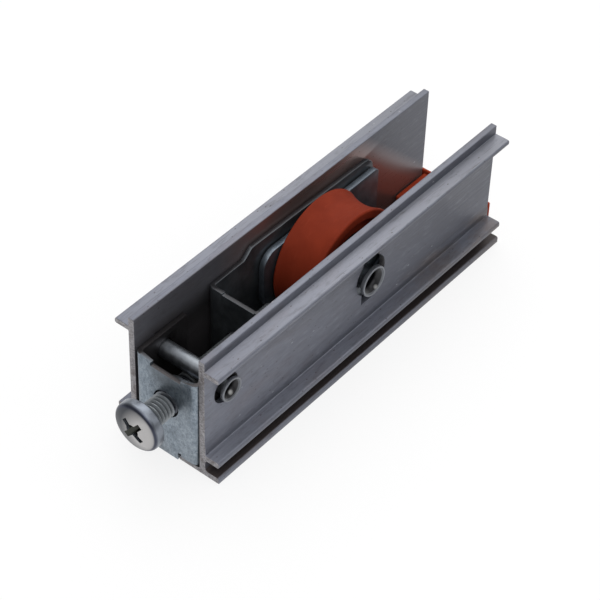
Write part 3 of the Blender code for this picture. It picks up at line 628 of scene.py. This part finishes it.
def screw_head_zinc(finish, tone, tip):
    """Bluish zinc plate of the head, with painted light and shade: painted shade round its shoulder and in
    the mouth of the cross recess, a side lightened as painted light, and a dark face with a painted
    highlight.
    """
    facing = finish.axis("X", "Normal")
    # Painted shade: the dark tones round the shoulder
    metal = finish.blend(tone, SHOULDER_DARK, SHOULDER_LIGHT)
    # Painted shade in the mouth of the cross recess
    metal = finish.blend(finish.span(finish.reach(tip), *RECESS_TOP_REACH), metal, RECESS_SHADE)
    # Painted light: the head's side is lighter
    side = finish.blend(tone, HEAD_SIDE_DARK, HEAD_SIDE_LIGHT)
    metal = finish.blend(finish.span(facing, *HEAD_SIDE_FACING), metal, side)
    # Painted highlight: a bright patch on the otherwise dark face, off towards the near wall
    wear_and_highlight = finish.span(finish.reach(tip + Vector(FACE_HIGHLIGHT_SPOT)), *FACE_HIGHLIGHT_REACH)
    face = finish.blend(wear_and_highlight, FACE_DARK, FACE_HIGHLIGHT)
    return finish.blend(finish.span(facing, *FACE_FACING), metal, face)


def screw_zinc(tip, collar):
    """Zinc plate of the screw and its collar: lighter on the thread's ridges, with painted shade in its
    valleys and in the cross recess; the collar and the shank next to it take the head's colours as painted
    shade.
    """
    finish = Finish("zinc_screw", metallic=SCREW_METALLIC)
    cloud = finish.noise(SCREW_CLOUD, detail=4, roughness=0.6)
    tone = finish.span(cloud, *TONE)
    under_head = tip.x + HEAD_HEIGHT
    # Painted shade: the collar and the shank near it take the head's colours instead of the thread's
    shank = finish.both(finish.span(finish.axis("X"), under_head, under_head + SHANK_FADE),
                        finish.span(finish.reach(collar), *COLLAR_REACH))
    root = SHANK_RADIUS - THREAD_DEPTH
    # Painted shade in the thread's valleys
    valley_shade = finish.span(finish.off_axis(tip), root + VALLEY_BEGINS * THREAD_DEPTH,
                         root + VALLEY_FULL * THREAD_DEPTH)
    thread = finish.blend(valley_shade, finish.blend(tone, RIDGE_DARK, RIDGE_LIGHT), THREAD_VALLEY_SHADE)
    metal = finish.blend(shank, screw_head_zinc(finish, tone, tip), thread)
    recess_floor = tip + Vector((CROSS_DEPTH, 0, 0))
    # Painted shade on the floor of the cross recess
    recess = finish.span(finish.reach(recess_floor), *RECESS_FLOOR_REACH)
    finish.colour(finish.blend(recess, metal, RECESS_SHADE))
    finish.metallic(finish.span(shank, 0, 1, SCREW_METALLIC, SHANK_METALLIC))
    satin = finish.span(cloud, *TONE, *SCREW_ROUGHNESS)
    finish.roughness(finish.both(satin, finish.span(shank, 0, 1, 1, SHANK_ROUGHENING)))
    finish.relief((cloud, SCREW_RELIEF))
    return finish.material


def sheet_zinc():
    """Satin zinc plate: painted shade on the carriage's up-facing cut edges, and a bluish, brighter fork."""
    finish = Finish("zinc_sheet", metallic=0.8)
    cloud = finish.noise(SHEET_CLOUD, detail=4, roughness=0.6)
    scratch = finish.noise(LONG_SCRATCH, detail=2, offset=(2, 6, 4), distortion=0.6)
    tone = finish.span(cloud, *TONE)
    metal = finish.blend(tone, SHEET_DARK, SHEET_LIGHT)
    # Painted shade on up-facing cut edges
    cut_edge = finish.span(finish.axis("Z", "Normal"), *CUT_EDGE_FACING)
    metal = finish.blend(cut_edge, metal, SHEET_EDGE_SHADE)
    fork = finish.both(finish.span(finish.size_of(finish.axis("Y")), *FORK_SIDES),
                       finish.span(finish.axis("X"), *FORK_FRONT))
    metal = finish.blend(fork, metal, finish.blend(tone, FORK_DARK, FORK_LIGHT))
    finish.colour(finish.tint(metal, SHEET_SCRATCH, scratch, between=(0.62, 0.74), strength=0.35))
    finish.roughness(finish.span(cloud, *TONE, *SHEET_ROUGHNESS))
    finish.relief((cloud, CLOUD_DEPTH), (scratch, SCRATCH_DEPTH))
    return finish.material


def rivet_steel(bowls):
    """Satin plated steel; each bowl is (middle, radius, place of its painted highlight), painted dark as
    shade with a bright painted highlight.
    """
    finish = Finish("rivet_steel", metallic=RIVET_METALLIC)
    cloud = finish.noise(RIVET_CLOUD, detail=4, roughness=0.6)
    scratch = finish.noise(RIVET_SCRATCH, detail=3, offset=(2, 6, 4), distortion=0.4)
    metal = finish.blend(finish.span(cloud, *TONE), RIVET_DARK, RIVET_LIGHT)
    metal = finish.tint(metal, RIVET_LINE, scratch, between=(0.58, 0.72), strength=0.45)
    rim = finish.span(finish.size_of(finish.axis("Y")), RIM_FROM, RIM_FROM + RIM_WIDTH)
    metal = finish.blend(rim, metal, RIVET_RIM)
    for middle, radius, highlight_offset in bowls:
        # Painted shade in each bowl
        bowl = finish.span(finish.reach(middle), radius, BOWL_SHARE * radius)
        metal = finish.blend(bowl, metal, RIVET_BOWL_SHADE)
        # Painted highlight low in each bowl
        bright = finish.span(finish.reach(middle + Vector(highlight_offset)), HIGHLIGHT_RADIUS, HIGHLIGHT_CORE)
        metal = finish.blend(bright, metal, RIVET_HIGHLIGHT)
    finish.colour(metal)
    finish.metallic(finish.span(rim, 0, 1, RIVET_METALLIC, RIM_METALLIC))
    finish.roughness(finish.span(cloud, *TONE, *RIVET_ROUGHNESS))
    finish.relief((cloud, CLOUD_DEPTH), (scratch, SCRATCH_DEPTH))
    return finish.material


def bearing_steel():
    """Ground steel: cloudy tone and fine scratches."""
    finish = Finish("bearing_steel", metallic=1.0)
    cloud = finish.noise(BEARING_CLOUD, detail=4, roughness=0.6)
    scratch = finish.noise(LONG_SCRATCH, detail=2, offset=(2, 6, 4), distortion=0.6)
    metal = finish.blend(finish.span(cloud, *TONE), BEARING_DARK, BEARING_LIGHT)
    finish.colour(finish.tint(metal, BEARING_SCRATCH, scratch, between=(0.62, 0.74), strength=0.35))
    finish.roughness(finish.span(cloud, *TONE, *BEARING_ROUGHNESS))
    finish.relief((cloud, CLOUD_DEPTH), (scratch, SCRATCH_DEPTH))
    return finish.material


def moulded_nylon(name, dark, light):
    """Moulded nylon: cloudy tone, fine grain and a few pale scuffs."""
    finish = Finish(name, metallic=0.0, specular=0.06)
    cloud = finish.noise(NYLON_CLOUD, detail=4)
    grain = finish.noise(NYLON_GRAIN, detail=2)
    scuff = finish.noise(NYLON_SCUFF, detail=5, roughness=0.7, offset=(4, 4, 9))
    tone = finish.blend(finish.span(cloud, *TONE), dark, light)
    pale = tuple(min(1.0, SCUFF_GAIN * part + SCUFF_LIFT) for part in light)
    finish.colour(finish.tint(tone, pale, scuff, between=(0.60, 0.74), strength=0.45))
    finish.roughness(finish.span(scuff, *SCUFF_TONE, *NYLON_ROUGHNESS))
    finish.relief((cloud, NYLON_CLOUD_DEPTH), (grain, NYLON_GRAIN_DEPTH))
    return finish.material


def screw_tip():
    """Foremost point of the screw's axis."""
    low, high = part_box("adjusting_screw")
    return Vector((low.x, 0, (low.z + high.z) / 2))


def collar_middle():
    """Middle of the collar on the screw."""
    low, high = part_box("screw_collar")
    return (low + high) / 2


def rivet_bowls():
    """Middle, radius and place of the painted highlight of each flared rivet end at the near wall."""
    pin_low, pin_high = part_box("bracket_pin")
    axle_low, axle_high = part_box("wheel_axle")
    pin = (pin_low + pin_high) / 2
    axle = (axle_low + axle_high) / 2
    return (
        (Vector((pin.x, pin_low.y, pin.z)), pin_high.x - pin.x - RIM_WIDTH, PIN_HIGHLIGHT),
        (Vector((axle.x, axle_low.y, axle.z)), AXLE_FLARE_RADIUS - RIM_WIDTH, AXLE_HIGHLIGHT),
    )


FINISHES = {
    "mill_aluminium": mill_aluminium(),
    "galvanised_sheet": galvanised_sheet(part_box("front_bracket")[0].x),
    "zinc_screw": screw_zinc(screw_tip(), collar_middle()),
    "zinc_sheet": sheet_zinc(),
    "rivet_steel": rivet_steel(rivet_bowls()),
    "wheel_nylon": moulded_nylon("wheel_nylon", *WHEEL_TONES),
    "cap_nylon": moulded_nylon("cap_nylon", *CAP_BRIGHTENED_TONES),
    "bearing_steel": bearing_steel(),
    "cage_polymer": moulded_nylon("cage_polymer", *CAGE_TONES),
}


def dress(obj, node, hides=True):
    """Let a piece ride with a CAD node and take its finish; it stands for the node if it hides it."""
    slot = SLOT_OF[node]
    obj.data.materials.clear()
    obj.data.materials.append(FINISHES[slot])
    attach(obj, NODES[node]["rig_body"])
    if hides:
        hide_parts(node)
    return obj


def mesh_object(name, work):
    """New object from a bmesh, smooth apart from its sharp edges."""
    mesh = bpy.data.meshes.new(name)
    work.to_mesh(mesh)
    work.free()
    mesh.shade_smooth()
    obj = bpy.data.objects.new(name, mesh)
    bpy.context.scene.collection.objects.link(obj)
    return obj


def soften(obj, width, segments=EDGE_STEPS):
    """Round every sharp edge by the given width."""
    bevel = obj.modifiers.new("edges", "BEVEL")
    bevel.width = width
    bevel.segments = segments
    bevel.limit_method = "ANGLE"
    bevel.angle_limit = BEVEL_ANGLE
    bevel.harden_normals = True
    return obj


def softened(node, name, width, segments=EDGE_STEPS):
    """Copy of a CAD node with whole flat faces and rounded edges."""
    work = bmesh.new()
    work.from_mesh(NODES[node].data)
    bmesh.ops.remove_doubles(work, verts=work.verts, dist=WELD_DISTANCE)
    bmesh.ops.dissolve_limit(work, angle_limit=FLAT_ANGLE, verts=work.verts, edges=work.edges)
    return dress(soften(mesh_object(name, work), width, segments), node)


def arc(centre, radius, start, sweep, steps):
    """Points on an arc, both ends included, with angles in degrees."""
    angles = [math.radians(start + sweep * index / steps) for index in range(steps + 1)]
    return [(centre[0] + radius * math.cos(a), centre[1] + radius * math.sin(a)) for a in angles]


def lathe(profile, axis, centre, steps=TURN_STEPS):
    """Closed bmesh of (radius, height) points turned about an axis; heights run along +X or -Y."""
    work = bmesh.new()
    rings = []
    for radius, height in profile:
        count = steps if radius > 0 else 1
        angles = [math.tau * index / count for index in range(count)]
        rings.append([work.verts.new((radius * math.cos(a), radius * math.sin(a), height)) for a in angles])
    if len(rings[0]) > 1:
        rings.append(rings[0])
    for lower, upper in zip(rings, rings[1:]):
        for index in range(steps):
            after = index + 1
            corners = (lower[index % len(lower)], lower[after % len(lower)],
                       upper[after % len(upper)], upper[index % len(upper)])
            work.faces.new(list(dict.fromkeys(corners)))
    bmesh.ops.recalc_face_normals(work, faces=work.faces)
    work.transform(Matrix.Translation(centre) @ FRAMES[axis].to_4x4())
    return work


def flared_end(shaft, flare, seat, end):
    """Open end of a tubular rivet, from the axis to the shaft: bore, funnel, rolled rim and underside."""
    roll = RIM_WIDTH / 2
    rim = (flare - roll, end - roll)
    mouth = rim[0] - roll
    bore = shaft - BORE_WALL
    funnel = []
    for index in range(FUNNEL_STEPS):
        share = index / FUNNEL_STEPS
        funnel.append((bore + (mouth - bore) * share ** 2, rim[1] - FUNNEL_DEPTH * (1 - share)))
    floor = end - BORE_DEPTH
    rolled = arc(rim, roll, 180, -180, RIM_STEPS)
    return [(0, floor), (bore, floor), *funnel, *rolled, (flare, seat), (shaft, seat)]


def rivet(name, node, profile, centre):
    """Turned piece that stands for a CAD node, with its corners kept sharp."""
    obj = mesh_object(name, lathe(profile, "Y", centre))
    obj.data.set_sharp_from_angle(angle=SHARP_ANGLE)
    return dress(obj, node)


def make_pin():
    """Tubular rivet across the channel, flared alike at both ends."""
    low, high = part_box("bracket_pin")
    centre = (low + high) / 2
    end = flared_end(PIN_SHAFT_RADIUS, high.x - centre.x, PIN_SEAT, high.y)
    rivet("bracket_pin_rivet", "bracket_pin", end + [(r, -h) for r, h in reversed(end)], centre)


def quarter_dome(radius, base, rise):
    """Points of a low dome from its rim to just short of the axis."""
    angles = [math.pi / 2 * index / DOME_STEPS for index in range(DOME_STEPS)]
    return [(radius * math.cos(a), base + rise * math.sin(a)) for a in angles]


def make_axle():
    """Tubular rivet with a flared end at the near wall and a low round head at the far wall."""
    low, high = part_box("wheel_axle")
    centre = Vector(((low.x + high.x) / 2, 0, (low.z + high.z) / 2))
    head_radius = high.x - centre.x
    rim = AXLE_SEAT + AXLE_HEAD_EDGE
    profile = flared_end(AXLE_SHAFT_RADIUS, AXLE_FLARE_RADIUS, AXLE_SEAT, -low.y)
    profile += [(AXLE_SHAFT_RADIUS, -AXLE_SEAT), (head_radius, -AXLE_SEAT)]
    profile += quarter_dome(head_radius, -rim, rim - high.y) + [(0, -high.y)]
    rivet("wheel_axle_rivet", "wheel_axle", profile, centre)


def cross_wing(turn, tip, recess_floor, axis_point):
    """Tapered cutter for one bar of the cross recess, reaching as far out of the head as into it."""
    work = bmesh.new()
    mouth_length = 2 * CROSS_TOP_LENGTH - CROSS_FLOOR_LENGTH
    mouth_width = 2 * CROSS_TOP_WIDTH - CROSS_FLOOR_WIDTH
    mouth = (2 * tip - recess_floor, mouth_length, mouth_width)
    for x, length, width in (mouth, (recess_floor, CROSS_FLOOR_LENGTH, CROSS_FLOOR_WIDTH)):
        for y, z in ((1, 1), (1, -1), (-1, -1), (-1, 1)):
            work.verts.new((x, y * length / 2, z * width / 2))
    bmesh.ops.convex_hull(work, input=work.verts)
    work.transform(Matrix.Translation(axis_point) @ Matrix.Rotation(turn, 4, "X"))
    return mesh_object("cross_wing", work)


def cut(obj, tools):
    """Cut tools out of an object for good, and remove them."""
    for tool in tools:
        boolean = obj.modifiers.new("cut", "BOOLEAN")
        boolean.object = tool
        boolean.solver = "EXACT"
    graph = bpy.context.evaluated_depsgraph_get()
    mesh = bpy.data.meshes.new_from_object(obj.evaluated_get(graph))
    obj.modifiers.clear()
    obj.data = mesh
    for tool in tools:
        bpy.data.objects.remove(tool, do_unlink=True)


def make_screw_head():
    """Pan head with a cross recess; gives its back, the screw's far end and a point of its axis."""
    low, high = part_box("adjusting_screw")
    axis_point = Vector((0, 0, (low.z + high.z) / 2))
    radius = high.y
    tip = low.x
    back = tip + HEAD_HEIGHT
    slope = math.degrees(math.asin((radius - HEAD_SHOULDER) / (HEAD_DOME_RADIUS - HEAD_SHOULDER)))
    dome = arc((0, tip + HEAD_DOME_RADIUS), HEAD_DOME_RADIUS, slope - 90, -slope, DOME_STEPS)
    fall = (HEAD_DOME_RADIUS - HEAD_SHOULDER) * math.cos(math.radians(slope))
    shoulder_centre = (radius - HEAD_SHOULDER, tip + HEAD_DOME_RADIUS - fall)
    edge_centre = (radius - HEAD_EDGE, back - HEAD_EDGE)
    profile = [(0, back), *arc(edge_centre, HEAD_EDGE, 90, -90, HEAD_EDGE_STEPS)]
    profile += [*arc(shoulder_centre, HEAD_SHOULDER, 0, slope - 90, RIM_STEPS), *dome[1:-1], (0, tip)]
    head = mesh_object("screw_head", lathe(profile, "X", axis_point))
    recess_floor = tip + CROSS_DEPTH
    above = tip - CROSS_DEPTH
    hub = [(0, recess_floor), (CROSS_HUB_FLOOR_RADIUS, recess_floor),
           (2 * CROSS_HUB_RADIUS - CROSS_HUB_FLOOR_RADIUS, above), (0, above)]
    tools = [cross_wing(CROSS_TURN + quarter, tip, recess_floor, axis_point) for quarter in (0, math.pi / 2)]
    tools.append(mesh_object("cross_hub", lathe(hub, "X", axis_point, DOME_STEPS)))
    cut(head, tools)
    head.data.shade_smooth()
    head.data.set_sharp_from_angle(angle=SHARP_ANGLE)
    dress(head, "adjusting_screw")
    return back, high.x, axis_point


def make_screw_thread(back, tip, axis_point):
    """Right-hand M5 thread, from inside the head to the chamfered tip."""
    root = SHANK_RADIUS - THREAD_DEPTH
    turns = math.ceil((tip - back) / THREAD_PITCH) + THREAD_SPARE_TURNS
    rows = [(turn + share, depth) for turn in range(turns) for share, depth in THREAD_CORNERS]
    work = bmesh.new()
    grid = []
    for step in range(THREAD_STEPS):
        angle = math.tau * step / THREAD_STEPS
        column = []
        for turn, depth in rows:
            x = back + (turn + step / THREAD_STEPS - THREAD_LEAD_PITCHES) * THREAD_PITCH
            limit = SHANK_RADIUS - max(0.0, x - tip + TIP_CHAMFER)
            radius = min(root + THREAD_DEPTH * depth, limit)
            column.append(work.verts.new((x, -radius * math.sin(angle), radius * math.cos(angle))))
        grid.append(column)
    pitch_rows = len(THREAD_CORNERS)
    for step in range(THREAD_STEPS):
        here = grid[step]
        beside = grid[(step + 1) % THREAD_STEPS]
        shift = pitch_rows if step == THREAD_STEPS - 1 else 0
        for row in range(len(rows) - 1 - shift):
            work.faces.new((here[row], here[row + 1], beside[row + 1 + shift], beside[row + shift]))
    for x, side in ((back - THREAD_START, -1), (tip, 1)):
        everything = work.verts[:] + work.edges[:] + work.faces[:]
        bmesh.ops.bisect_plane(work, geom=everything, plane_co=(x, 0, 0), plane_no=(side, 0, 0),
                               clear_outer=True)
        open_edges = [edge for edge in work.edges if edge.is_boundary]
        bmesh.ops.holes_fill(work, edges=open_edges)
    bmesh.ops.recalc_face_normals(work, faces=work.faces)
    work.transform(Matrix.Translation(axis_point))
    thread = mesh_object("screw_thread", work)
    thread.data.set_sharp_from_angle(angle=SHARP_ANGLE)
    dress(thread, "adjusting_screw", hides=False)


def make_wheel():
    """Moulded wheel with a hollow tread and a seat for the bearing between two lips."""
    low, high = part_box("wheel")
    centre = (low + high) / 2
    radius = high.z - centre.z
    half_width = high.y
    shoulder = half_width - TREAD_SHOULDER
    tread_arc = (shoulder ** 2 + TREAD_DEPTH ** 2) / (2 * TREAD_DEPTH)
    tread_centre = radius - TREAD_DEPTH + tread_arc
    heights = [shoulder * (1 - 2 * index / TREAD_STEPS) for index in range(TREAD_STEPS + 1)]
    tread = [(tread_centre - math.sqrt(tread_arc ** 2 - h ** 2), h) for h in heights]
    side = [
        (radius - TREAD_SHOULDER, half_width), (WHEEL_FACE_RADIUS, half_width),
        (WHEEL_WEB_RADIUS, WHEEL_WEB_WIDTH / 2), (WHEEL_LIP_RADIUS, WHEEL_WEB_WIDTH / 2),
        (WHEEL_LIP_RADIUS, BEARING_SEAT_WIDTH / 2), (BEARING_SEAT_RADIUS, BEARING_SEAT_WIDTH / 2),
    ]
    profile = tread + [(r, -h) for r, h in side] + [(r, h) for r, h in reversed(side)]
    wheel = mesh_object("moulded_wheel", lathe(profile, "Y", centre, WHEEL_STEPS))
    dress(soften(wheel, WHEEL_EDGE), "wheel")


def make_stage():
    """Pale round floor that shows white to the eye and in the metal, with the part's shadow on it."""
    work = bmesh.new()
    bmesh.ops.create_circle(work, cap_ends=True, segments=FLOOR_STEPS, radius=FLOOR_RADIUS)
    work.transform(Matrix.Translation((0, 0, -FLOOR_DROP)))
    floor = mesh_object("floor", work)
    finish = Finish("floor", metallic=0.0, specular=0.0)
    finish.colour(FLOOR_COLOUR)
    finish.roughness(1.0)
    rays = finish.node("ShaderNodeLightPath").outputs
    seen = finish.join("MAXIMUM", rays["Is Camera Ray"], rays["Is Glossy Ray"])
    seen = finish.join("MAXIMUM", seen, rays["Is Transmission Ray"])
    mix = finish.node("ShaderNodeMixShader")
    finish.feed(mix.inputs["Fac"], finish.span(seen, 0, 1, 0, FLOOR_GLOW))
    finish.feed(mix.inputs[1], finish.shader.outputs["BSDF"])
    finish.feed(mix.inputs[2], finish.node("ShaderNodeEmission").outputs["Emission"])
    finish.feed(finish.tree.nodes["Material Output"].inputs["Surface"], mix.outputs["Shader"])
    floor.data.materials.append(finish.material)


def make_light():
    """Surroundings that are brightest overhead, and soft boxes that look at the part."""
    world = bpy.data.worlds.new("surroundings")
    world.use_nodes = True
    tree = world.node_tree
    place = tree.nodes.new("ShaderNodeTexCoord")
    parts = tree.nodes.new("ShaderNodeSeparateXYZ")
    height = tree.nodes.new("ShaderNodeMapRange")
    height.interpolation_type = "SMOOTHSTEP"
    for key, number in (("From Min", ZENITH_SPREAD[0]), ("From Max", ZENITH_SPREAD[1]),
                        ("To Min", HORIZON_STRENGTH), ("To Max", ZENITH_STRENGTH)):
        height.inputs[key].default_value = number
    tree.links.new(place.outputs["Generated"], parts.inputs[0])
    tree.links.new(parts.outputs["Z"], height.inputs["Value"])
    tree.nodes["Background"].inputs["Color"].default_value = (1, 1, 1, 1)
    tree.links.new(height.outputs["Result"], tree.nodes["Background"].inputs["Strength"])
    bpy.context.scene.world = world
    for name, stand, side, radiance in SOFT_BOXES:
        light = bpy.data.lights.new(name, "AREA")
        light.size = side
        light.energy = math.pi * side ** 2 * radiance
        lamp = bpy.data.objects.new(name, light)
        lamp.location = stand
        lamp.rotation_euler = (LIGHT_TARGET - Vector(stand)).to_track_quat("-Z", "Y").to_euler()
        bpy.context.scene.collection.objects.link(lamp)


def make_camera():
    """Camera where the photographed edges put it."""
    data = bpy.data.cameras.new("camera")
    data.lens = CAMERA_LENS
    camera = bpy.data.objects.new("camera", data)
    bpy.context.scene.collection.objects.link(camera)
    forward = CAMERA_FORWARD.normalized()
    right = CAMERA_RIGHT.normalized()
    up = right.cross(forward)
    turn = Matrix((right, up, -forward)).transposed().to_4x4()
    camera.matrix_world = Matrix.Translation(CAMERA_PLACE) @ turn
    bpy.context.scene.camera = camera


for plain_node, node_object in NODES.items():
    node_object.data.materials.clear()
    node_object.data.materials.append(FINISHES[SLOT_OF[plain_node]])

softened("housing", "housing_extrusion", HOUSING_EDGE)
softened("front_bracket", "front_bracket_sheet", BRACKET_EDGE)
softened("carriage", "carriage_sheet", CARRIAGE_EDGE)
softened("wheel_fork", "wheel_fork_sheet", FORK_EDGE, FORK_EDGE_STEPS)
softened("screw_collar", "collar_ring", COLLAR_EDGE)
softened("end_cap", "end_cap_moulding", CAP_EDGE)
make_pin()
make_axle()
make_screw_thread(*make_screw_head())
make_wheel()
make_stage()
make_light()
make_camera()
bpy.context.scene.view_settings.view_transform = "Standard"
